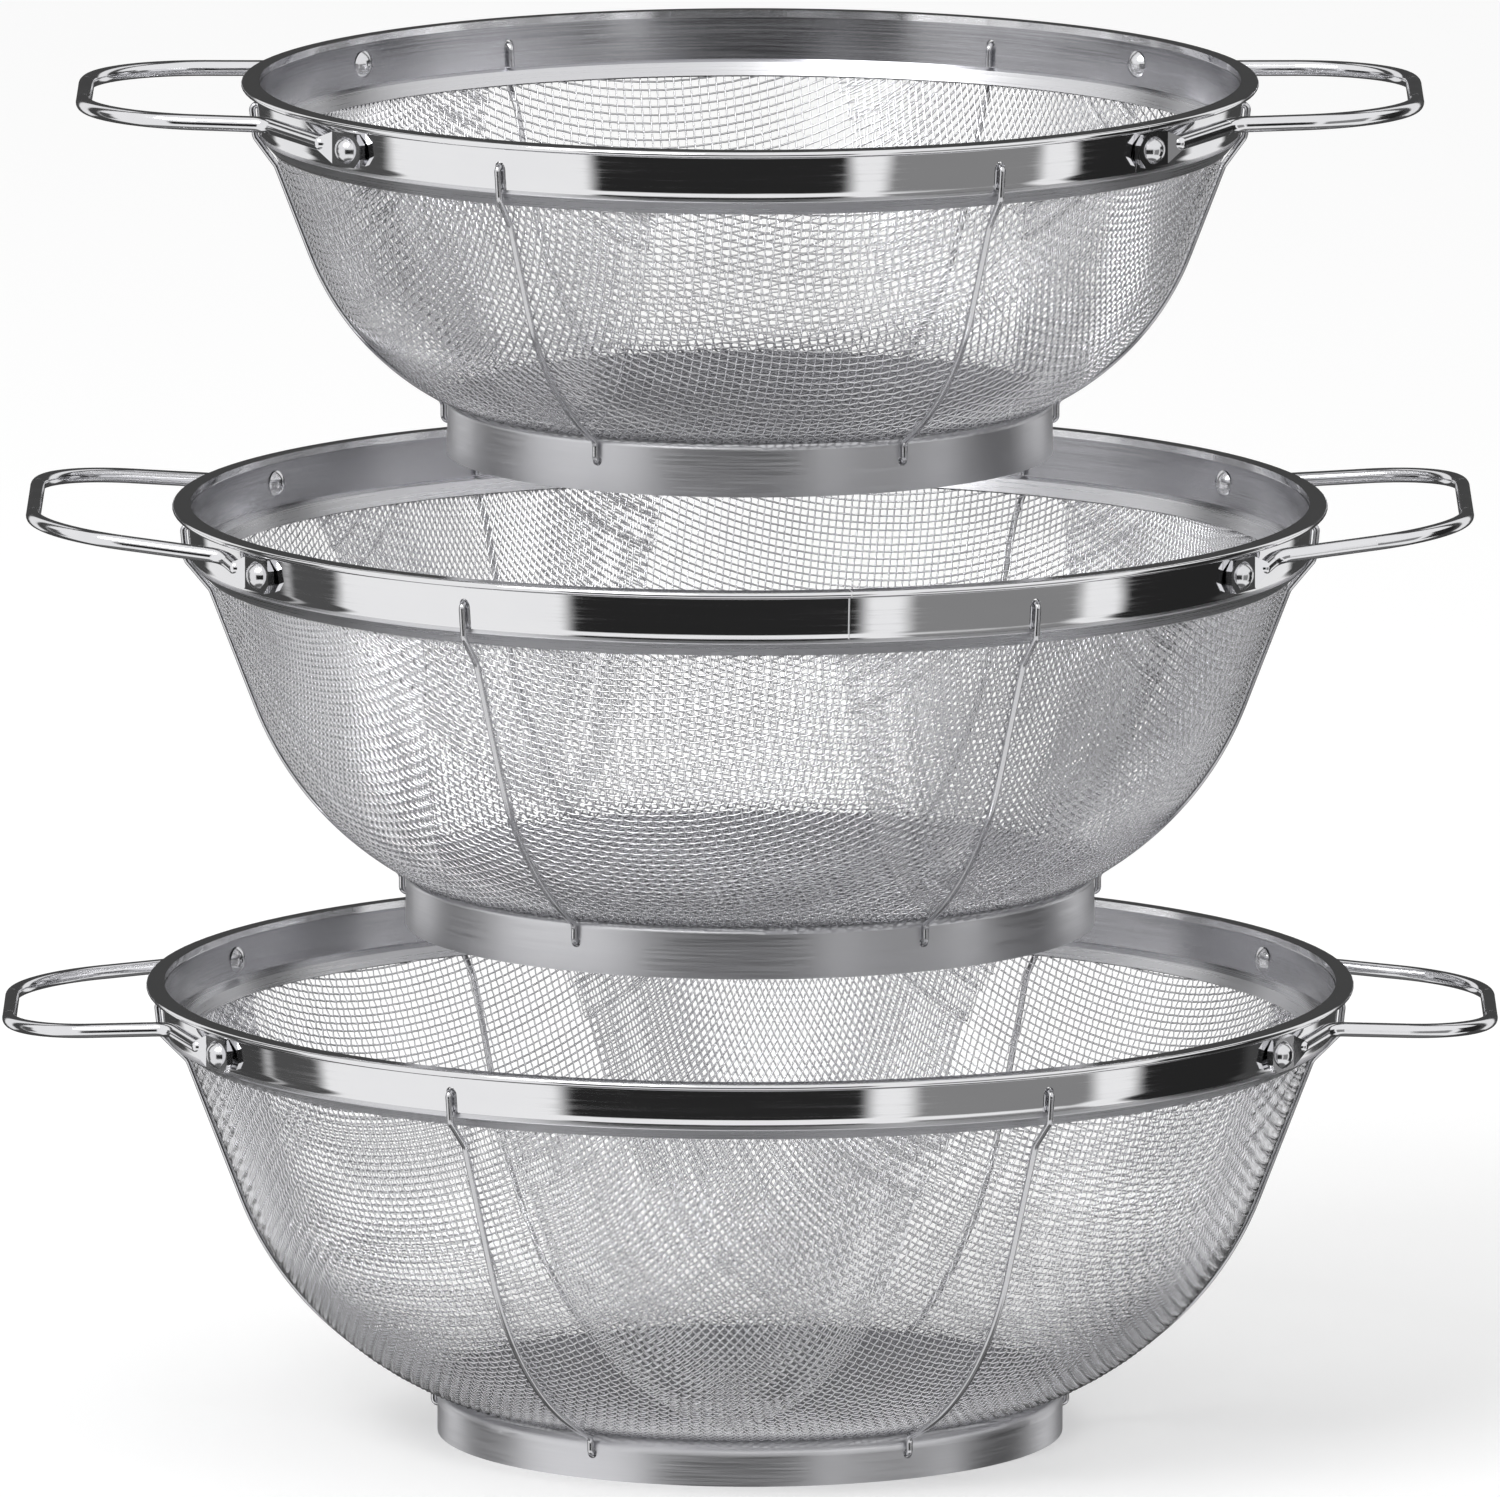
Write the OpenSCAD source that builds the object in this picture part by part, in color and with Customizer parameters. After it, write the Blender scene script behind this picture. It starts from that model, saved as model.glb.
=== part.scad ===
// A set of three stainless mesh strainers that nest in one another.
// Every list with three values is in the order small, medium, large.
// Each strainer is drawn about the Z axis, its foot on z = 0, and then lifted to its place in the set.

/* [Rim] */
// Outer radius of the rolled lip of each strainer
lip_r = [101.5, 115.5, 121]; // [90:0.5:140]
// Height of each strainer, from the foot to the top of the lip
height = [75, 85, 91.5]; // [70:0.5:100]
// How far the lip stands out from the band
lip_out = 2.8; // [2:0.1:4]
// Height of the rolled lip
lip_h = 1.4; // [1:0.1:2]
// Height of the polished band under the lip
band_h = [8.4, 8.6, 7.4]; // [6:0.1:12]
// How much the band narrows from the lip to its lower edge
band_taper = 0.7; // [0:0.1:1.5]
// Sheet thickness of the band
band_t = 0.5; // [0.3:0.1:1]

/* [Clamp ring] */
// Height of the recess between the band and the skirt of the clamp ring
recess_h = [0.8, 0.8, 1.0]; // [0.5:0.1:1.5]
// Height of the sloping skirt that grips the edge of the mesh
skirt_h = [2.6, 2.7, 2.3]; // [2:0.1:4]
// How far the skirt leans in from the band
skirt_in = [2.3, 3.0, 3.6]; // [1.5:0.1:5]
// Sheet thickness of the clamp ring
clamp_t = 0.4; // [0.3:0.1:0.8]

/* [Mesh bowl] */
// Thickness of the woven mesh, two wires deep
mesh_t = 0.8; // [0.6:0.1:1.2]
// Slope of the bowl's upper wall
wall_slope = 69; // [62:0.5:76]
// Height above the foot at which the wall begins to curve in
bend_z = [40, 44, 47.5]; // [35:0.5:55]
// Radius of the bend between the curved wall and the flat floor
floor_bend = 3; // [2:0.5:6]

// Openings across the bowl, a plain net that stands for the fine weave
net_across = 10; // [6:2:12]
// Width of the bars between the openings, seen from above
net_bar = 2.5; // [2:0.5:5]
// Width of the whole border under the clamp ring, seen from above
net_border = 1.5; // [1:0.5:4]

/* [Foot ring] */
// Outer radius of the foot ring
foot_r = [60.5, 69, 62.8]; // [55:0.5:75]
// Height of the foot ring
foot_h = [10.6, 10.2, 9]; // [7:0.1:14]
// Sheet thickness of the foot ring
foot_t = 0.8; // [0.6:0.1:1.2]
// Outer radius of the foot ring's upper corner
foot_corner = [1.2, 1.2, 3]; // [1:0.1:4]
// Width of the flange that the mesh floor lies on
foot_flange = 4.5; // [4:0.5:8]
// Height of the hem folded inside the foot's lower edge
hem_h = 1.6; // [1:0.1:3]

/* [Struts] */
// Diameter of the strut wire
strut_d = 1.3; // [1:0.1:1.6]
// Number of struts round each strainer
strut_count = 6; // [6:6:6]
// Depth of the upper hook holes below the top of the lip
hook_drop = [5.2, 5.0, 4.7]; // [4:0.1:6]
// Diameter of the hook holes
hook_hole_d = 2; // [1.8:0.1:2.4]

/* [Handles] */
// Distance from the axis to the tip of each handle
handle_reach = [134.2, 144.3, 149.6]; // [130:0.1:165]
// Diameter of the handle wire
handle_d = [3.2, 3, 2.9]; // [2.5:0.1:3.5]
// Half width of the handle where it leaves the rim
handle_root_w = [39.5, 48, 37.5]; // [34:0.5:50]
// Half width of the handle at its outer corners
handle_tip_w = [35.5, 38, 30]; // [28:0.5:42]
// Radius of the handle's outer corners
handle_corner = [26, 25, 22]; // [18:0.5:27]
// Tilt of the handle, positive where its tip stands higher than its root
handle_tilt = [1, 5.5, -3.6]; // [-6:0.1:6]
// Depth of the handle wire's centre below the top of the lip
handle_drop = 3.5; // [3.2:0.1:4]

/* [Tabs and rivets] */
// Angle of the rivets from the line through both handles
rivet_angle = [37, 31, 27.5]; // [24:0.5:42]
// Depth of the rivets below the top of the lip
rivet_drop = 5.6; // [5:0.1:6]
// Length of the flattened tab at each end of a handle
tab_l = 9.5; // [8:0.5:12]
// Height of the tab
tab_h = 6.6; // [5.5:0.1:7]
// Thickness of the tab
tab_t = 1.3; // [1:0.1:1.6]
// Cut-off at the tab's corners
tab_clip = 1.9; // [1:0.1:2.5]
// Diameter of the rivet shank
rivet_d = 3; // [2.5:0.1:3.5]
// Diameter of the rivet's domed head
rivet_head_d = 5.6; // [5:0.1:6.2]
// Height of the rivet's domed head
rivet_head_h = 1.9; // [1.2:0.1:2.4]

/* [Set] */
// Gap between the foot of the small and of the medium strainer and the rim below
lift_gap = [10.3, 12]; // [5:0.1:40]

/* [Hidden] */
TIERS = ["small", "medium", "large"];
STRUTS = [for (i = [1 : strut_count]) str("strut_", i)];
PIECES = concat(
    ["rim_band", "clamp_ring", "mesh_bowl", "foot_ring"], STRUTS,
    ["handle_left", "handle_right", "rivets"]);
$fn = 96;

fit = 0.05;          // gap at which a formed wire or tab lies on what it follows
wall_steps = 10;     // straight lengths in the curve of a bowl's wall
corner_steps = 4;    // and in the bend at its floor
hole_past = 5;       // how far a cutter for a radial hole runs past the wall
joint_bead = 0.02;   // how much wider a wire is where a straight meets a bend, so that they join
joint_l = 0.2;       // length of that joint in a handle

bowl_foot_out = 1;     // how far outside the foot ring the bowl's lower curve ends
bowl_foot_rise = 0.55; // and how far above its flange
foot_hole_rise = 0.58; // height of the foot's hook holes as a share of its own

strut_off = strut_d / 2 + fit;
strut_step = 360 / strut_count;
strut_lead = 4;      // how far under the skirt a strut comes to lie on the wall
strut_slack = 0.3;   // play of a strut's ends and bends at the strip, the holes and the foot
fold_lead = 1;       // how far under the recess a strut begins to bend in
foot_tail = 3;       // length of wire turned down inside the foot
hook_bend = 1;       // centreline radius of a hook's corners
fold_bend = 2;       // and of the bends at the recess and at the foot's corner
skirt_bend = 3;      // and of the bend under the skirt

root_bend = 6;       // centreline radius of the bend where a handle leaves the rim
transition_l = 3;    // length over which the handle wire is flattened into its tab
transition_rise = 0.6; // how far the wire's centre stands above the tab's
transition_lap = 0.4;  // how far the flattened part runs into the tab
flat_share = 0.7;    // side of the square that lies inside the wire, as a share of its diameter
rivet_play = 0.2;    // how much wider a rivet's hole is than its shank
inner_head = 0.7;    // height of a rivet's inner head as a share of the outer one's

function base_z(k) = k == 2 ? 0
    : base_z(k + 1) + height[k + 1] + lift_gap[k];

// Points and lines in the r-z plane, with slopes in degrees
function aim(a) = [cos(a), sin(a)];
function out_of(a) = [sin(a), -cos(a)];
function cross2(u, v) = u.x * v.y - u.y * v.x;
function meet(p, a, q, b) = p + aim(a) * cross2(q - p, aim(b)) / cross2(aim(a), aim(b));
function turn_points(centre, r, from, to, steps) =
    [for (i = [0 : steps]) centre + r * out_of(from + (to - from) * i / steps)];

// Band wall
function band_r(k) = lip_r[k] - lip_out;
function band_low_z(k) = height[k] - lip_h - band_h[k];
function wall_r(k, z) = band_r(k) - band_taper * (height[k] - lip_h - z) / band_h[k];
function strip_r(k, z) = wall_r(k, z) - band_t;
function inner_r(k, z) = strip_r(k, z) - clamp_t;

// Clamp ring
function skirt_top_z(k) = band_low_z(k) - recess_h[k];
function skirt_low_z(k) = skirt_top_z(k) - skirt_h[k];
function skirt_low_r(k) = wall_r(k, band_low_z(k)) - skirt_in[k];

// Bowl: outer surface, from the skirt down the wall, round the bend and on to the foot
function bowl_top(k) = [skirt_low_r(k) - clamp_t, skirt_low_z(k)];
function bend_start(k) = [bowl_top(k).x - (bowl_top(k).y - bend_z[k]) / tan(wall_slope), bend_z[k]];
function bend_end(k) = [foot_r[k] + bowl_foot_out, foot_h[k] + bowl_foot_rise];
function low_slope(k) = let (d = bend_start(k) - bend_end(k)) 2 * atan2(d.y, d.x) - wall_slope;
function bend_r(k) = (bend_start(k).x - bend_end(k).x) / (sin(wall_slope) - sin(low_slope(k)));
function bend_centre(k) = bend_start(k) - bend_r(k) * out_of(wall_slope);
function bowl_at(k, z) = [bowl_top(k).x + (z - bowl_top(k).y) / tan(wall_slope), z];
function floor_corner(k) = meet(bend_end(k), low_slope(k), [0, foot_h[k]], 0);
function floor_centre(k) =
    [floor_corner(k).x - floor_bend * tan(low_slope(k) / 2), foot_h[k] + floor_bend];

function bowl_side(k, inset) = concat(
    [bowl_at(k, skirt_top_z(k) - clamp_t) - inset * out_of(wall_slope)],
    turn_points(bend_centre(k), bend_r(k) - inset, wall_slope, low_slope(k), wall_steps),
    turn_points(floor_centre(k), floor_bend - inset, low_slope(k), 0, corner_steps),
    [[0, foot_h[k] + inset]]);
function reversed(list) = [for (i = [len(list) - 1 : -1 : 0]) list[i]];

module in_place(k) {
    translate([0, 0, base_z(k)]) children();
}

// Radial hole through a wall, from the axis outwards at the angle given
module radial_hole(a, z, d, far) {
    rotate([0, 0, a]) translate([far / 2, 0, z]) rotate([0, 90, 0])
        cylinder(d = d, h = far / 2 + hole_past);
}

module hook_holes(k) {
    for (i = [0 : strut_count - 1])
        radial_hole(i * strut_step, height[k] - hook_drop[k], hook_hole_d, band_r(k));
}

function rivet_places(k) = let (a = rivet_angle[k]) [a, -a, 180 - a, 180 + a];

module rivet_holes(k) {
    for (a = rivet_places(k))
        radial_hole(a, height[k] - rivet_drop, rivet_d + rivet_play, band_r(k));
}

module rim_band(k) {
    top = height[k];
    low = band_low_z(k);
    color([0.80, 0.81, 0.83]) difference() {
        rotate_extrude() {
            translate([inner_r(k, top), top - lip_h])
                square([lip_r[k] - lip_h / 2 - inner_r(k, top), lip_h]);
            translate([lip_r[k] - lip_h / 2, top - lip_h / 2]) circle(d = lip_h);
            polygon([
                [strip_r(k, top), top - lip_h / 2], [strip_r(k, low), low],
                [wall_r(k, low), low], [wall_r(k, top), top - lip_h / 2]]);
        }
        hook_holes(k);
        rivet_holes(k);
    }
}

module clamp_ring(k) {
    top = height[k] - lip_h;
    low = band_low_z(k);
    fold = skirt_top_z(k);
    edge = skirt_low_z(k);
    slit = fold - clamp_t;
    leaf = -out_of(wall_slope);
    color([0.70, 0.70, 0.72]) difference() {
        rotate_extrude() polygon([
            [strip_r(k, top), top],
            [strip_r(k, low), low],
            [strip_r(k, low), fold],
            [wall_r(k, low), fold],
            [skirt_low_r(k), edge],
            bowl_at(k, edge),
            bowl_at(k, slit),
            bowl_at(k, slit) + mesh_t * leaf,
            bowl_at(k, edge) + mesh_t * leaf,
            bowl_at(k, edge) + (mesh_t + clamp_t) * leaf,
            bowl_at(k, fold) + (mesh_t + clamp_t) * leaf,
            [inner_r(k, low), low],
            [inner_r(k, top), top]]);
        hook_holes(k);
        rivet_holes(k);
    }
}

// Square openings seen from above, as a square weave keeps its squares when it is pressed into a bowl
module net_openings(k) {
    reach = bowl_top(k).x - net_border;
    pitch = 2 * reach / net_across;
    last = net_across / 2 - 0.5;
    intersection() {
        circle(reach);
        for (i = [-last : last]) for (j = [-last : last])
            if (norm([i, j]) < net_across / 2)
                translate([i * pitch, j * pitch]) square(pitch - net_bar, center = true);
    }
}

module mesh_bowl(k) {
    color([0.62, 0.62, 0.64]) difference() {
        rotate_extrude() polygon(concat(bowl_side(k, 0), reversed(bowl_side(k, mesh_t))));
        linear_extrude(height[k]) net_openings(k);
    }
}

function foot_hole_z(k) = foot_hole_rise * foot_h[k];

module rounded_corner_square(r, h, corner) {
    square([r, h - corner]);
    square([r - corner, h]);
    translate([r - corner, h - corner]) circle(corner);
}

module foot_ring(k) {
    r = foot_r[k];
    color([0.66, 0.66, 0.69]) difference() {
        rotate_extrude() {
            difference() {
                rounded_corner_square(r, foot_h[k], foot_corner[k]);
                rounded_corner_square(r - foot_t, foot_h[k] - foot_t, foot_corner[k] - foot_t / 2);
                square([r - foot_flange, foot_h[k]]);
            }
            translate([r - 2 * foot_t, 0]) square([1.5 * foot_t, hem_h]);
        }
        for (i = [0 : strut_count - 1])
            radial_hole(i * strut_step, foot_hole_z(k), hook_hole_d, r);
    }
}

// Round wire along a list of points, with a bend radius for each inner point.
// Its child is the joint set where a straight meets a bend.
function unit(v) = v / norm(v);
function wire_dir(path, i) = unit(path[i + 1] - path[i]);
function turn_at(path, i) =
    i == 0 || i == len(path) - 1 ? 0 : acos(wire_dir(path, i - 1) * wire_dir(path, i));
function setback(path, bends, i) =
    i == 0 || i == len(path) - 1 ? 0 : bends[i - 1] * tan(turn_at(path, i) / 2);

module aimed(way) {
    rotate([0, acos(way.z), atan2(way.y, way.x)]) children();
}

module wire(path, bends, d) {
    last = len(path) - 1;
    for (i = [0 : last - 1]) {
        way = wire_dir(path, i);
        start = path[i] + way * setback(path, bends, i);
        stop = path[i + 1] - way * setback(path, bends, i + 1);
        translate(start) aimed(way) cylinder(d = d, h = norm(stop - start));
        if (i > 0) translate(start) aimed(way) children();
        if (i < last - 1) translate(stop) aimed(way) children();
    }
    for (i = [1 : last - 1]) {
        v = wire_dir(path, i - 1);
        turned = wire_dir(path, i);
        u = -unit(turned - (turned * v) * v);
        w = cross(u, v);
        c = path[i] - v * setback(path, bends, i) - u * bends[i - 1];
        multmatrix([
            [u.x, v.x, w.x, c.x], [u.y, v.y, w.y, c.y], [u.z, v.z, w.z, c.z], [0, 0, 0, 1]])
            rotate_extrude(angle = turn_at(path, i)) translate([bends[i - 1], 0]) circle(d = d);
    }
}

// Strut, from its tail inside the band, out through the hole and down the bowl to its foot hook
function strut_path(k) = let (
    hook_z = height[k] - hook_drop[k],
    tail_z = band_low_z(k) + strut_slack,
    outside = wall_r(k, hook_z) + strut_off,
    wall = bowl_at(k, skirt_low_z(k) - strut_lead) + strut_off * out_of(wall_slope),
    low = bend_end(k) + strut_off * out_of(low_slope(k)),
    foot = foot_r[k] + strut_off,
    foot_in = foot_r[k] - foot_t - strut_off - strut_slack)
    [
        [inner_r(k, tail_z) - strut_off, tail_z], [inner_r(k, hook_z) - strut_off, hook_z],
        [outside + strut_slack, hook_z],
        [wall_r(k, band_low_z(k)) + strut_off, skirt_top_z(k) - fold_lead],
        wall,
        meet(wall, wall_slope, low, low_slope(k)),
        meet(low, low_slope(k), [foot, 0], 90),
        [foot, foot_hole_z(k)], [foot_in, foot_hole_z(k)], [foot_in, foot_hole_z(k) - foot_tail]];

module strut(k, i) {
    path = [for (p = strut_path(k)) [p.x, 0, p.y]];
    bends = [
        hook_bend, hook_bend, fold_bend, skirt_bend,
        bend_r(k) + strut_off, fold_bend, hook_bend, hook_bend];
    color([0.74, 0.74, 0.77]) rotate([0, 0, (i - 1) * strut_step])
        wire(path, bends, strut_d) sphere(d = strut_d + joint_bead);
}

// Handle: a bent wire loop whose ends are flattened into pierced tabs
function tab_frame_r(k) = band_r(k) + fit;
function along_tab(k, s, out, z) = let (a = rivet_angle[k])
    [out * cos(a) + s * sin(a), out * sin(a) - s * cos(a), z];

module on_tab(k) {
    translate(along_tab(k, 0, tab_frame_r(k), height[k] - rivet_drop))
        rotate([0, 0, rivet_angle[k]]) rotate([90, 0, 90]) children();
}

module tab_blank() {
    x = tab_l / 2;
    y = tab_h / 2;
    c = tab_clip;
    linear_extrude(tab_t) polygon([
        [-x, y], [-x, -y], [x - c, -y], [x, -y + c], [x, y - c], [x - c, y]]);
}

// The flattened length between the tab and the wire, from the side and from above
module transition(k) {
    x = [transition_lap - tab_l / 2, -transition_l - tab_l / 2];
    half = flat_share * handle_d[k] / 2;
    wire_y = transition_rise;
    wire_z = handle_d[k] / 2;
    intersection() {
        linear_extrude(handle_d[k]) polygon([
            [x[0], fit - tab_h / 2], [x[0], tab_h / 2 - fit],
            [x[1], wire_y + half], [x[1], wire_y - half]]);
        translate([0, tab_h, 0]) rotate([90, 0, 0]) linear_extrude(2 * tab_h) polygon([
            [x[0], fit], [x[0], tab_t - fit], [x[1], wire_z + half], [x[1], wire_z - half]]);
    }
}

module handle_end(k) {
    on_tab(k) {
        transition(k);
        tab_blank();
    }
    translate(handle_start(k)) aimed(unit(handle_root(k) - handle_start(k)))
        sphere(d = handle_d[k] + joint_bead);
}

function handle_z(k) = height[k] - handle_drop;
function handle_start(k) = along_tab(
    k, tab_l / 2 + transition_l, tab_frame_r(k) + handle_d[k] / 2, height[k] - rivet_drop + transition_rise);
function handle_root(k) = let (
    out = tab_frame_r(k) + handle_d[k] / 2,
    s = (out * sin(rivet_angle[k]) - handle_root_w[k]) / cos(rivet_angle[k]))
    along_tab(k, s, out, handle_z(k));
function handle_tip(k) = let (x = handle_reach[k] - handle_d[k] / 2, root = handle_root(k))
    [x, handle_tip_w[k], root.z + (x - root.x) * tan(handle_tilt[k])];
function flipped(p) = [p.x, -p.y, p.z];

module handle(k) {
    half = [handle_start(k), handle_root(k), handle_tip(k)];
    path = concat(half, [for (p = reversed(half)) flipped(p)]);
    bends = [root_bend, handle_corner[k], handle_corner[k], root_bend];
    color([0.78, 0.78, 0.80]) difference() {
        union() {
            wire(path, bends, handle_d[k])
                cylinder(d = handle_d[k] + joint_bead, h = joint_l, center = true);
            handle_end(k);
            mirror([0, 1, 0]) handle_end(k);
        }
        rivet_holes(k);
    }
}

module dome(d, h) {
    r = (d * d / 4 + h * h) / (2 * h);
    intersection() {
        translate([0, 0, h - r]) sphere(r);
        cylinder(d = d, h = h + 1);
    }
}

module rivet(k, a) {
    z = height[k] - rivet_drop;
    out = tab_frame_r(k) + tab_t;
    inside = inner_r(k, z) - fit;
    rotate([0, 0, a]) translate([0, 0, z]) rotate([0, 90, 0]) {
        translate([0, 0, inside - fit]) cylinder(d = rivet_d, h = out - inside + 2 * fit);
        translate([0, 0, out]) dome(rivet_head_d, rivet_head_h);
        translate([0, 0, inside]) mirror([0, 0, 1]) dome(rivet_head_d, rivet_head_h * inner_head);
    }
}

module rivets(k) {
    color([0.84, 0.84, 0.86]) for (a = rivet_places(k)) rivet(k, a);
}

module piece(k, name) {
    in_place(k) {
        if (name == "rim_band") rim_band(k);
        if (name == "clamp_ring") clamp_ring(k);
        if (name == "mesh_bowl") mesh_bowl(k);
        if (name == "foot_ring") foot_ring(k);
        for (i = [1 : strut_count]) if (name == STRUTS[i - 1]) strut(k, i);
        if (name == "handle_left") rotate([0, 0, 180]) handle(k);
        if (name == "handle_right") handle(k);
        if (name == "rivets") rivets(k);
    }
}

for (k = [0 : 2]) for (name = PIECES)
    piece(k, name);
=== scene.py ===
"""The looks of a nesting set of three woven mesh strainers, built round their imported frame."""

import math

import bmesh
import bpy
import numpy as np
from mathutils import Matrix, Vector


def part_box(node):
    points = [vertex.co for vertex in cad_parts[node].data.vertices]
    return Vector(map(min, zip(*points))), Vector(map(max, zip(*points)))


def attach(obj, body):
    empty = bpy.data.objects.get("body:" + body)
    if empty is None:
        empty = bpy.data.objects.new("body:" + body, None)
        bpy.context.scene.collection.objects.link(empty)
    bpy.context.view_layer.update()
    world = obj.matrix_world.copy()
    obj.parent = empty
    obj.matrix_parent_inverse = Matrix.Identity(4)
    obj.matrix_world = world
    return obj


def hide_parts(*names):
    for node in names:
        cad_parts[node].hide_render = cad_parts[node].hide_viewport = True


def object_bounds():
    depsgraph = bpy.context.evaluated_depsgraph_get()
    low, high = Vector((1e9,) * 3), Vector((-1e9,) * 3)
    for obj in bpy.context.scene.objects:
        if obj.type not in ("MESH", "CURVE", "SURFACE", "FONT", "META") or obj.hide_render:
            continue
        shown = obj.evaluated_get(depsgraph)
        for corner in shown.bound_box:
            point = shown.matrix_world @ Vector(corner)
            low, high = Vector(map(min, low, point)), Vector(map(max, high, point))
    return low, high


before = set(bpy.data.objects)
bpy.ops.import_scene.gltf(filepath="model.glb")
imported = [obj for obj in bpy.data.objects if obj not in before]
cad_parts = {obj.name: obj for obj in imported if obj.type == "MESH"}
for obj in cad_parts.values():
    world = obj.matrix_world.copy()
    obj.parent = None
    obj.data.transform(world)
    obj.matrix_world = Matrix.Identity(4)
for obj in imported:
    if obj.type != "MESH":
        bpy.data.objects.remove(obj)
cad_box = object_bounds()
MM = 0.001
TIERS = ("small", "medium", "large")

# Pitch of each weave, and how far its wires are turned from the line through the handles
WEAVES = {"small": (1.73 * MM, 11.5), "medium": (1.49 * MM, -13.6), "large": (1.55 * MM, 42.0)}
MESH_WIRE_D = 0.37 * MM
PRESS_STEPS = 6  # rounds in which a crossing of the net settles on the bowl
PAST_RIM = 6 * MM  # how far the net is laid beyond the rim before it is trimmed there
LEAST_CROSSINGS = 3  # a shorter stretch of wire is left out
DECIMALS = 6  # of a metre, to which the bowl's corners are read
LEAST_BEND = 1e-12  # square metres: a flatter corner of the outline is dropped

# Where the butt joint of each rim band shows, in degrees from the right-hand handle
SEAM_ANGLES = {"small": -39.0, "medium": -80.0}
SEAM_HALF_TURN = 0.0022
SEAM_DEPTH = 0.012 * MM
SEAM_ROUGHNESS = 0.3

# Relief of the steel: its height, or how wide the place is
BAND_GRAIN = 0.003 * MM
BAND_WAVE = 0.09 * MM
ROLLED_EDGE = 1.3 * MM
ROLLED_HEIGHT = 0.10 * MM
SATIN_GRAIN = 0.01 * MM
DIE_LINES = 0.006 * MM
STRIP_EDGE = 0.3 * MM
FLOOR_SHADE_FADE = (0.5 * MM, 3 * MM)  # heights above the floor between which the painted shade on the floor's wires gives way to the wall's bright wire

MOST_NOISE = (0.3, 0.7)  # the values between which most of a noise lies
HANDLING = 160.0  # scale of the blotches that handling leaves on wire
SPECKS = 1900.0

# Numbers of a Mix node's colour sockets: the two that go in, and the one that comes out
MIX_FROM, MIX_TO, MIX_RESULT = 6, 7, 2

# The view: far off, a little above the rims
VIEW_RISE = 9.45
VIEW_DISTANCE = 6.0
VIEW_LIMIT = 100
VIEW_WIDTH = 1.0035  # width of the picture in widths of the set
VIEW_CENTRE = 0.5055  # height of the picture's centre in heights of the set
SENSOR = 36.0

# What the steel mirrors, laid over an even white in this order: the middle of each panel, as an angle
# about the set from straight ahead towards the right, half its width, its lowest and highest angle above
# the horizon, and its brightness
STUDIO_PANELS = (
    (180, 68, -90, 68, 0.06),  # gloom behind the set
    (-140, 11, -28, 55, 0.85),
    (138, 11, -28, 55, 0.85),
    (-7, 31, -27, 8, 0.02),  # the dark of the camera's own corner
    (-103, 8, -30, 10, 0.08),
    (53, 20, -30, 5, 0.24),
    (100, 16, -35, 15, 0.02),
    (0, 200, -90, -58, 0.14),  # the table below
)
PANEL_SOFT = 2.5  # softness of a panel's sides, in degrees
PANEL_ENDS = 0.03  # softness of its lower and upper end, in sines
SURROUND = 0.90
ROOM_LIGHT = 0.75

FLOOR_REACH = 12.0
FLOOR_GREY = 0.80
FLOOR_GLOW = 0.3  # light of its own, which only the camera sees
WHITE = (1, 1, 1, 1)
LAMP_PLACE = (-1.2, -1.6, 2.0)
LAMP_AIM = (0, 0, 0.14)
LAMP_SIZE = (1.5, 1.0)
LAMP_POWER = 30


# ---------------------------------------------------------------- shader maths


class Value:
    """A shader socket that takes part in expressions."""

    def __init__(self, sheet, socket):
        self.sheet = sheet
        self.socket = socket

    def maths(self, operation, *others):
        return self.sheet.add("ShaderNodeMath", dict(enumerate((self, *others))), operation=operation)

    def __add__(self, other):
        return self.maths("ADD", other)

    def __mul__(self, other):
        return self.maths("MULTIPLY", other)

    __rmul__ = __mul__

    def __sub__(self, other):
        return self.maths("SUBTRACT", other)

    def __rsub__(self, other):
        return self * -1 + other

    def over(self, x):
        """The angle of the point whose height is this and whose distance along is x."""
        return self.maths("ARCTAN2", x)

    def root(self):
        return self.maths("SQRT")

    def size(self):
        return self.maths("ABSOLUTE")

    def between(self, start, stop):
        """Start where this is 0, stop where it is 1."""
        return (stop - start) * self + start

    def ramp(self, low, high, start=0.0, stop=1.0):
        """Start below low, stop above high, and a smooth rise between."""
        sockets = {"Value": self, "From Min": low, "From Max": high, "To Min": start, "To Max": stop}
        return self.sheet.add("ShaderNodeMapRange", sockets, interpolation_type="SMOOTHSTEP")

    def within(self, low, high, soft):
        """1 between low and high and 0 outside, over edges this soft."""
        return self.ramp(low - soft, low + soft) * self.ramp(high - soft, high + soft, 1.0, 0.0)


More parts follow.
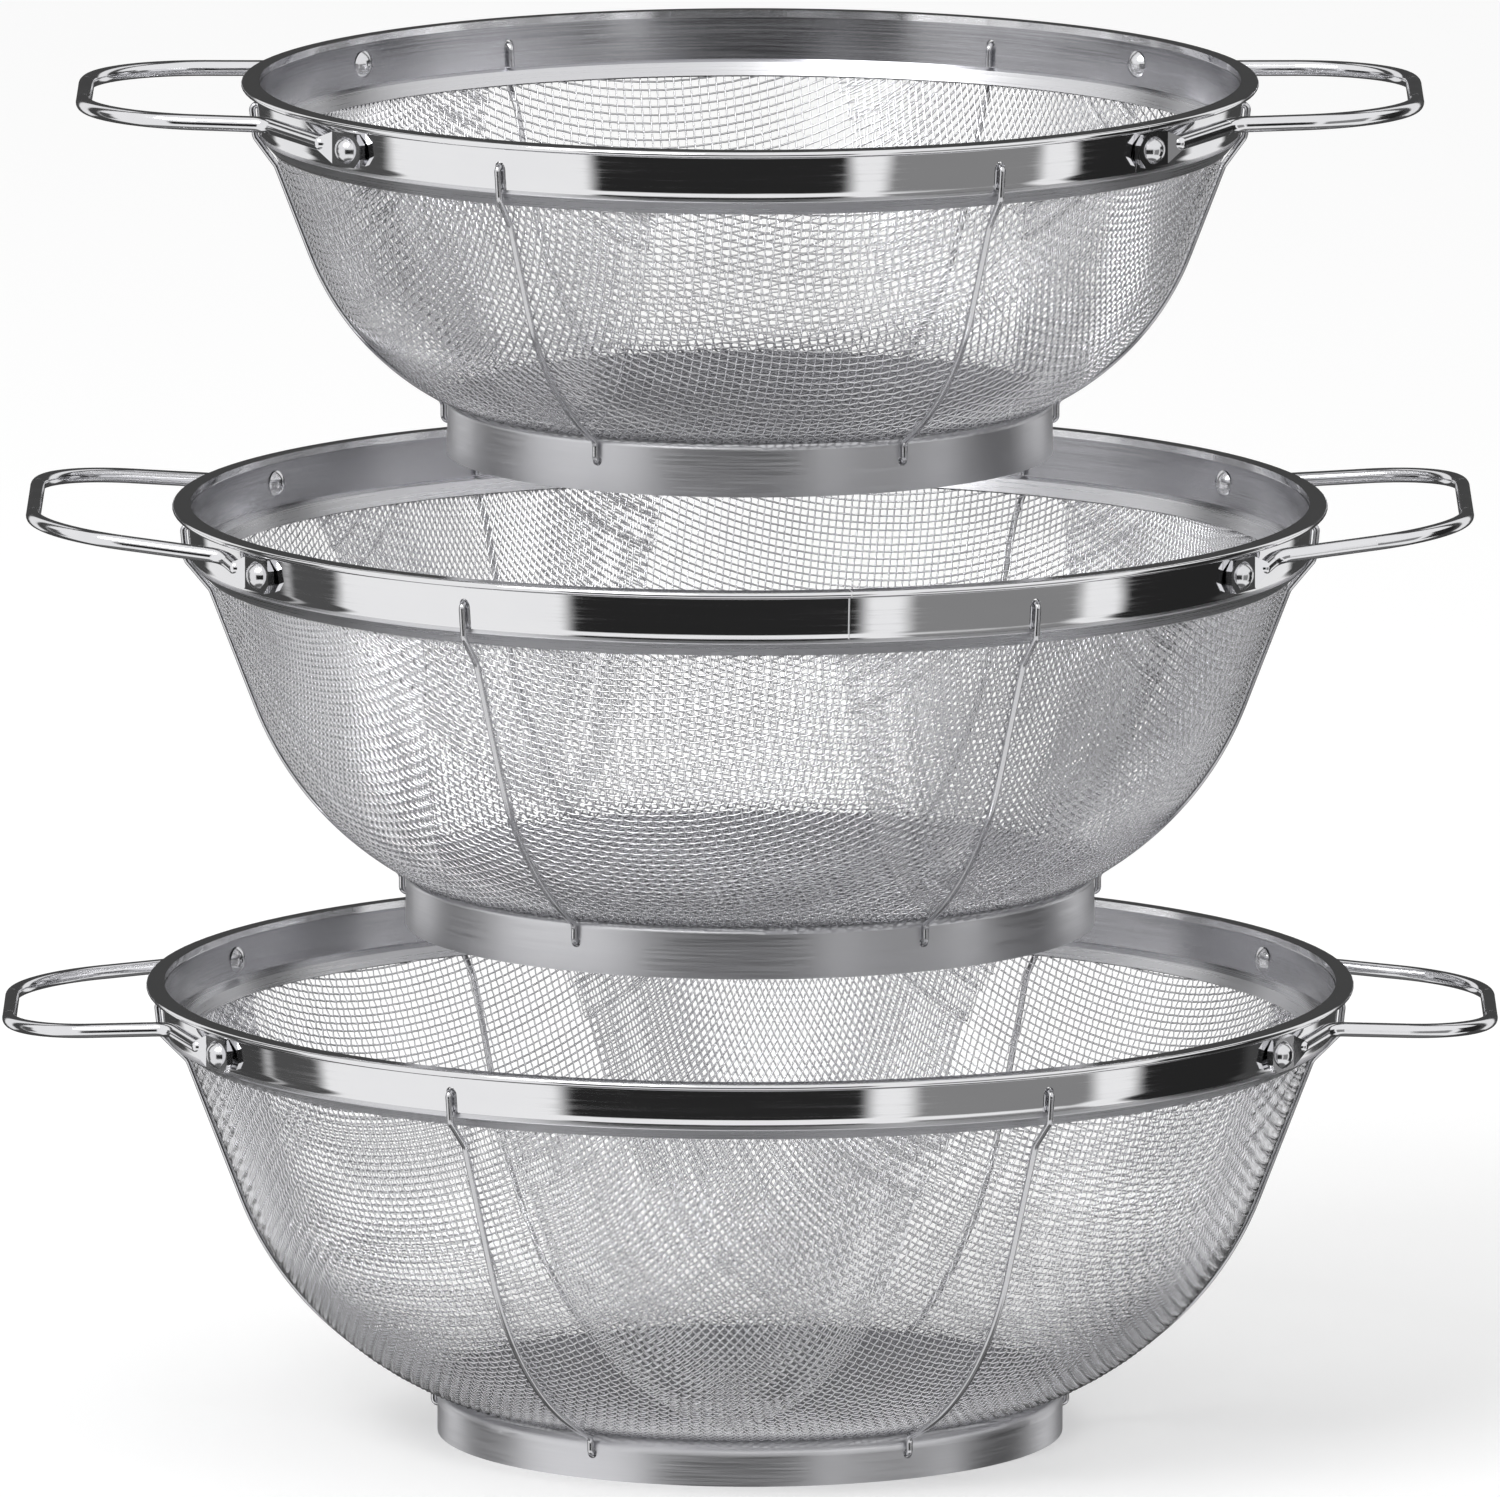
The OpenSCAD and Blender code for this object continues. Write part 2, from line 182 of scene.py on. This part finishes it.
class Sheet:
    """The node sheet of a material, or of the world."""

    def __init__(self, name, sheets=None):
        self.owner = (bpy.data.materials if sheets is None else sheets).new(name)
        self.owner.use_nodes = True
        self.tree = self.owner.node_tree
        self.tree.nodes.clear()

    def add(self, kind, sockets=None, out=0, **settings):
        """Adds a node, sets it up, feeds its sockets with values or links, and gives one output."""
        node = self.tree.nodes.new(kind)
        for name, value in settings.items():
            setattr(node, name, value)
        for name, value in (sockets or {}).items():
            if isinstance(value, Value):
                self.tree.links.new(value.socket, node.inputs[name])
            else:
                node.inputs[name].default_value = value
        return Value(self, node.outputs[out])

    def place(self, kind="Object"):
        """The place of a point on the piece, or, as Generated, the way from the world's middle."""
        return self.add("ShaderNodeTexCoord", out=kind)

    def split(self, vector):
        """The x, y and z of a vector."""
        return [self.add("ShaderNodeSeparateXYZ", {"Vector": vector}, out=i) for i in range(3)]

    def noise(self, at, scale=1.0, detail=3.0, roughness=0.5):
        """Cloudy noise from 0 to 1."""
        sockets = {"Vector": at, "Scale": scale, "Detail": detail, "Roughness": roughness}
        return self.add("ShaderNodeTexNoise", sockets, out="Fac")

    def tint(self, amount, low, high):
        """A colour between two, each of them red, green and blue or a colour of this sheet."""
        low, high = (end if isinstance(end, Value) else (*end, 1.0) for end in (low, high))
        sockets = {0: amount, MIX_FROM: low, MIX_TO: high}
        return self.add("ShaderNodeMix", sockets, out=MIX_RESULT, data_type="RGBA")

    def bump(self, height, distance=1.0, strength=1.0):
        sockets = {"Height": height, "Distance": distance, "Strength": strength}
        return self.add("ShaderNodeBump", sockets)

    def ray(self, kind):
        """1 for rays of this kind and 0 for the rest."""
        return self.add("ShaderNodeLightPath", out=f"Is {kind} Ray")

    def metal(self, colour, roughness, normal=None):
        """Ends the sheet in bare metal."""
        sockets = {"Base Color": colour, "Metallic": 1.0, "Roughness": roughness}
        if normal is not None:
            sockets["Normal"] = normal
        return self.end(self.add("ShaderNodeBsdfPrincipled", sockets))

    def end(self, shader, output="ShaderNodeOutputMaterial"):
        self.tree.links.new(shader.socket, self.tree.nodes.new(output).inputs["Surface"])
        return self.owner


def steel(level, cool=0.02):
    """A grey with a little more blue in it."""
    return level, level, level + cool


def turned_axes(sheet):
    """The radius, turn in radians and height of a point about the common axis of the set."""
    x, y, z = sheet.split(sheet.place())
    return (x * x + y * y).root(), y.over(x), z


def ring_grain(sheet, along=3.0, across=2600.0):
    """Fine lines that run round a turned piece, as polishing leaves them."""
    radius, turn, z = turned_axes(sheet)
    at = sheet.add("ShaderNodeCombineXYZ", {"X": turn * along, "Y": radius * across, "Z": z * across})
    return sheet.noise(at, roughness=0.6)


def ring_cloud(sheet, along, across, layer=0.0, detail=3.0):
    """Cloudy noise drawn out round a turned piece, with this many blotches to a radian and to a metre of
    height, taken from one layer of the noise."""
    radius, turn, z = turned_axes(sheet)
    at = sheet.add("ShaderNodeCombineXYZ", {"X": turn * along, "Y": z * across, "Z": layer})
    return sheet.noise(at, detail=detail)


# ------------------------------------------------------------------- finishes


def polished_band(name, edge, seam=None):
    """Mirror-polished strip with faint lines round it, a rolled lower edge at the height given, the slight
    waves of thin sheet, and the pale line of its butt joint."""
    sheet = Sheet(name)
    radius, turn, z = turned_axes(sheet)
    grain = ring_grain(sheet)
    smudge = ring_cloud(sheet, 6.0, 120.0)
    wave = ring_cloud(sheet, 5.0, 70.0, layer=3.0, detail=1.0)
    roughness = grain.ramp(0.35, 0.75, 0.03, 0.12) + smudge.ramp(0.5, 0.8, 0.0, 0.05)
    rolled = z.ramp(edge, edge + ROLLED_EDGE)
    height = grain * BAND_GRAIN + wave * BAND_WAVE + rolled * ROLLED_HEIGHT
    if seam is not None:
        line = (turn - math.radians(seam)).size().ramp(0.0, SEAM_HALF_TURN, 1.0, 0.0)
        roughness = roughness + line * SEAM_ROUGHNESS
        height = height - line * SEAM_DEPTH
    return sheet.metal(
        sheet.tint(smudge, steel(0.84), steel(0.90, 0.01)), roughness, sheet.bump(height)
    )


def satin_strip(name, edge):
    """Clamp ring: duller drawn strip inside the band, whose lower edge is at the height given, and a
    pale satin skirt below it."""
    sheet = Sheet(name)
    radius, turn, z = turned_axes(sheet)
    grain = ring_grain(sheet, across=3500.0)
    inside = z.ramp(edge - STRIP_EDGE, edge)
    skirt = sheet.tint(grain, steel(0.66), steel(0.80))
    strip = sheet.tint(grain, steel(0.45, 0.025), steel(0.62))
    roughness = grain.ramp(*MOST_NOISE, 0.26, 0.36) - inside * 0.12
    return sheet.metal(
        sheet.tint(inside, skirt, strip), roughness, sheet.bump(grain, SATIN_GRAIN, 0.7)
    )


def satin_foot(name):
    """Pressed foot ring with an even, softly brushed finish."""
    sheet = Sheet(name)
    grain = ring_grain(sheet, across=4200.0)
    cloud = ring_cloud(sheet, 2.0, 30.0, detail=2.0)
    return sheet.metal(
        sheet.tint(cloud, steel(0.66, 0.03), steel(0.76)),
        grain.ramp(*MOST_NOISE, 0.3, 0.42),
        sheet.bump(grain, SATIN_GRAIN, 0.6),
    )


def drawn_wire(name, levels, roughness):
    """Drawn wire, with the faint die lines and small rubbed places that handling leaves, between two
    levels of grey and of roughness."""
    sheet = Sheet(name)
    cloud = sheet.noise(sheet.place(), HANDLING)
    speck = sheet.noise(sheet.place(), SPECKS, detail=2.0)
    return sheet.metal(
        sheet.tint(cloud, *map(steel, levels)),
        cloud.ramp(*MOST_NOISE, *roughness),
        sheet.bump(speck, DIE_LINES, 0.5),
    )


def mesh_wire(name, floor):
    """Bright drawn wire of a mesh, with painted shade: darker where it lies flat at the height of the
    floor, standing in for the shade inside the bowl.
    """
    sheet = Sheet(name)
    x, y, z = sheet.split(sheet.place())
    cloud = sheet.noise(sheet.place(), HANDLING)
    bright = sheet.tint(cloud, steel(0.84), steel(0.94))
    # painted shade: the wires on the bowl's floor take this darker grey in place of the shade that falls
    # inside the bowl
    painted_shade = sheet.tint(cloud, steel(0.34), steel(0.44))
    # mask of the painted shade: 0 on the floor, 1 up the wall
    out_of_shade = z.ramp(*(floor + height for height in FLOOR_SHADE_FADE))
    return sheet.metal(sheet.tint(out_of_shade, painted_shade, bright), cloud.ramp(*MOST_NOISE, 0.08, 0.15))


# ------------------------------------------------------------------ woven mesh


def flattened(points):
    """Radius and height of each point about the common axis of the set."""
    return np.column_stack((np.hypot(points[:, 0], points[:, 1]), points[:, 2]))


def cross(u, v):
    return u[0] * v[1] - u[1] * v[0]


def bowl_outline(node):
    """Outer outline of a turned bowl as rows of radius and height, from its floor's centre to its rim,
    and the thickness of its floor."""
    corners = np.array([v.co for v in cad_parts[node].data.vertices])
    flat = np.unique(np.round(flattened(corners), DECIMALS), axis=0)
    chain = []
    for p in flat:
        while len(chain) > 1 and cross(chain[-1] - chain[-2], p - chain[-2]) <= LEAST_BEND:
            chain.pop()
        chain.append(p)
    middle = flat[flat[:, 0] < flat[0, 0] + 0.01 * MM, 1]
    return np.array([(0.0, middle.min()), *chain]), middle.max() - middle.min()


class Former:
    """The middle surface of a bowl's skin, on which the net is laid, carried on a little past the rim."""

    def __init__(self, node):
        outer, skin = bowl_outline(node)
        steps = np.diff(outer, axis=0)
        steps /= np.linalg.norm(steps, axis=1)[:, None]
        inward = np.column_stack((-steps[:, 1], steps[:, 0]))
        corners = np.vstack((inward[:1], inward[:-1] + inward[1:], inward[-1:]))
        corners[0] = (0.0, 1.0)
        corners /= np.linalg.norm(corners, axis=1)[:, None]
        line = outer + corners * skin / 2
        self.top = line[-1, 1]
        self.line = np.vstack((line, line[-1] + steps[-1] * PAST_RIM))
        self.start = self.line[:-1]
        self.span = np.diff(self.line, axis=0)
        self.length = np.linalg.norm(self.span, axis=1)
        self.along = np.concatenate(([0.0], np.cumsum(self.length)))
        self.inward = np.column_stack((-self.span[:, 1], self.span[:, 0])) / self.length[:, None]

    def nearest(self, points):
        """The nearest places on the former, and the way into the bowl there."""
        turn = np.arctan2(points[:, 1], points[:, 0])
        flat = flattened(points)
        offset = flat[:, None] - self.start[None]
        share = np.clip((offset * self.span).sum(2) / self.length**2, 0.0, 1.0)
        foot = self.start + share[..., None] * self.span
        best = np.argmin(((flat[:, None] - foot) ** 2).sum(2), axis=1)
        place, way = foot[np.arange(len(points)), best], self.inward[best]
        about = np.column_stack((np.cos(turn), np.sin(turn)))
        return (
            np.column_stack((about * place[:, :1], place[:, 1])),
            np.column_stack((about * way[:, :1], way[:, 1])),
        )

    def meridian(self, distance):
        """Radius and height at these distances from the centre of the floor."""
        return np.column_stack([np.interp(distance, self.along, self.line[:, i]) for i in range(2)])


def drape(former, pitch):
    """A quarter of a square net pressed over the former: its crossings keep their spacing along each wire
    and the squares lean over into diamonds between the two main directions."""
    count = int(former.along[-1] / pitch)
    net = np.full((count + 1, count + 1, 3), np.nan)
    spine = former.meridian(np.arange(count + 1) * pitch)
    net[:, 0, 0], net[:, 0, 1], net[:, 0, 2] = spine[:, 0], 0.0, spine[:, 1]
    net[0, :, 0], net[0, :, 1], net[0, :, 2] = 0.0, spine[:, 0], spine[:, 1]
    for diagonal in range(2, 2 * count + 1):
        i = np.arange(max(1, diagonal - count), min(count, diagonal - 1) + 1)
        j = diagonal - i
        a, b, back = net[i - 1, j], net[i, j - 1], net[i - 1, j - 1]
        known = np.isfinite(a[:, 0]) & np.isfinite(b[:, 0]) & np.isfinite(back[:, 0])
        if not known.any():
            continue
        i, j, a, b, back = i[known], j[known], a[known], b[known], back[known]
        middle = (a + b) / 2
        across = b - a
        width = np.linalg.norm(across, axis=1)[:, None]
        across /= width
        rise = np.sqrt(np.maximum(pitch**2 - width**2 / 4, 0.0))
        place = middle + (middle - back)
        for _ in range(PRESS_STEPS):
            way = former.nearest(place)[0] - middle
            way -= (way * across).sum(1)[:, None] * across
            place = middle + way / np.linalg.norm(way, axis=1)[:, None] * rise
        net[i, j] = place
    net[net[:, :, 2] > former.top] = np.nan
    return net


def whole_net(quarter):
    """The four quarters of the net, mirrored out of one."""
    half = np.concatenate((quarter[:0:-1] * (-1, 1, 1), quarter))
    return np.concatenate((half[:, :0:-1] * (1, -1, 1), half), axis=1)


def in_scene(name, data):
    """A new object of the scene, with this data."""
    thing = bpy.data.objects.new(name, data)
    bpy.context.scene.collection.objects.link(thing)
    return thing


def wire_curve(name, wires, turn):
    """Wires as one curve piece, turned about the axis."""
    curve = bpy.data.curves.new(name, "CURVE")
    curve.dimensions = "3D"
    curve.bevel_depth = MESH_WIRE_D / 2
    curve.bevel_resolution = 0
    curve.use_fill_caps = True
    c, s = math.cos(turn), math.sin(turn)
    for wire in wires:
        spline = curve.splines.new("POLY")
        spline.points.add(len(wire) - 1)
        x, y, z = wire.T
        rows = np.column_stack((x * c - y * s, x * s + y * c, z, np.ones(len(wire))))
        spline.points.foreach_set("co", rows.ravel())
    return in_scene(name, curve)


def stretches(line, shown):
    """The unbroken stretches of one wire, which leaves the bowl at its rim and may come back."""
    breaks = np.flatnonzero(np.diff(shown)) + 1
    parts = zip(np.split(line, breaks), np.split(shown, breaks))
    return [part for part, kept in parts if kept[0] and len(part) >= LEAST_CROSSINGS]


def woven_bowl(tier):
    """The woven mesh of one bowl: warp and weft wires that pass over and under each other."""
    node = f"{tier}_mesh_bowl"
    material = mesh_wire(f"{tier}_mesh_wire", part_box(node)[0].z)
    pitch, turn = WEAVES[tier]
    former = Former(node)
    net = whole_net(drape(former, pitch))
    known = np.isfinite(net[:, :, 0])
    inward = np.full(net.shape, np.nan)
    inward[known] = former.nearest(net[known])[1]
    i, j = np.indices(known.shape)
    over = np.where((i + j) % 2, 1.0, -1.0)[:, :, None] * inward * MESH_WIRE_D / 2
    middle = len(net) // 2
    for family, crossings, shown in (
        ("warp", net + over, known),
        ("weft", (net - over).transpose(1, 0, 2), known.T),
    ):
        wires = [stretches(line, kept) for line, kept in zip(crossings, shown)]
        for side, some in (("low", wires[:middle]), ("high", wires[middle:])):
            piece = wire_curve(f"{tier}_{family}_{side}", sum(some, []), math.radians(turn))
            piece.data.materials.append(material)
            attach(piece, tier)
            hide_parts(node)


# ----------------------------------------------------------------------- stage


def pale_floor():
    """Pale floor: white where it is lit, with the soft shadow of the set."""
    sheet = Sheet("pale_floor")
    matt = sheet.add("ShaderNodeBsdfDiffuse", {"Color": (FLOOR_GREY, FLOOR_GREY, FLOOR_GREY, 1.0)})
    glow = sheet.add("ShaderNodeEmission", {"Color": WHITE, "Strength": sheet.ray("Camera") * FLOOR_GLOW})
    work = bmesh.new()
    bmesh.ops.create_grid(work, x_segments=1, y_segments=1, size=FLOOR_REACH)
    data = bpy.data.meshes.new("floor")
    work.to_mesh(data)
    work.free()
    data.materials.append(sheet.end(sheet.add("ShaderNodeAddShader", {0: matt, 1: glow})))
    piece = in_scene("floor", data)
    piece.visible_glossy = False


def studio_world():
    """White all round, with soft panels and dark gaps between them that only the steel mirrors."""
    sheet = Sheet("studio", bpy.data.worlds)
    x, y, z = sheet.split(sheet.place("Generated"))
    turn = x.over(y * -1)
    light = SURROUND
    for middle, half, low, high, strength in STUDIO_PANELS:
        aside = (turn - math.radians(middle)).maths("WRAP", math.pi, -math.pi).size()
        edges = (math.radians(half + soft) for soft in (-PANEL_SOFT, PANEL_SOFT))
        ends = (math.sin(math.radians(end)) for end in (low, high))
        panel = aside.ramp(*edges, 1.0, 0.0) * z.within(*ends, PANEL_ENDS)
        light = panel.between(light, strength)
    plain = sheet.ray("Camera").between(ROOM_LIGHT, 1.0)
    strength = sheet.ray("Glossy").between(plain, light)
    back = sheet.add("ShaderNodeBackground", {"Color": WHITE, "Strength": strength})
    bpy.context.scene.world = sheet.end(back, "ShaderNodeOutputWorld")


def key_lamp():
    """A broad soft lamp, above and to the left of the camera, that faces the set."""
    lamp = bpy.data.lights.new("key_lamp", "AREA")
    lamp.shape = "RECTANGLE"
    lamp.size, lamp.size_y = LAMP_SIZE
    lamp.energy = LAMP_POWER
    holder = in_scene("key_lamp", lamp)
    holder.location = LAMP_PLACE
    way = Vector(LAMP_AIM) - Vector(LAMP_PLACE)
    holder.rotation_euler = way.to_track_quat("-Z", "Y").to_euler()


def camera():
    low, high = cad_box
    aim = Vector((0, 0, low.z + (high.z - low.z) * VIEW_CENTRE))
    rise = math.radians(VIEW_RISE)
    back = Vector((0, -math.cos(rise), math.sin(rise)))
    data = bpy.data.cameras.new("camera")
    data.sensor_width = SENSOR
    data.lens = SENSOR * VIEW_DISTANCE / ((high.x - low.x) * VIEW_WIDTH)
    data.clip_end = VIEW_LIMIT
    holder = in_scene("camera", data)
    holder.location = aim + back * VIEW_DISTANCE
    holder.rotation_euler = back.to_track_quat("Z", "Y").to_euler()
    bpy.context.scene.camera = holder


def dress_nodes():
    """Gives every CAD node its finish."""
    finishes = {
        "foot_ring": satin_foot("satin_foot"),
        "strut": drawn_wire("strut_wire", (0.62, 0.74), (0.14, 0.24)),
        "handle": drawn_wire("handle_wire", (0.80, 0.88), (0.06, 0.14)),
        "rivets": drawn_wire("rivet_steel", (0.74, 0.84), (0.12, 0.22)),
    }
    for tier in TIERS:
        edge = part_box(f"{tier}_rim_band")[0].z
        finishes["rim_band"] = polished_band(f"{tier}_band", edge, SEAM_ANGLES.get(tier))
        finishes["clamp_ring"] = satin_strip(f"{tier}_strip", edge)
        for name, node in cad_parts.items():
            for part, material in finishes.items():
                if name.startswith(f"{tier}_{part}"):
                    node.data.materials.clear()
                    node.data.materials.append(material)


bpy.context.scene.view_settings.view_transform = "Standard"
camera()
studio_world()
pale_floor()
key_lamp()
dress_nodes()
for tier in TIERS:
    woven_bowl(tier)
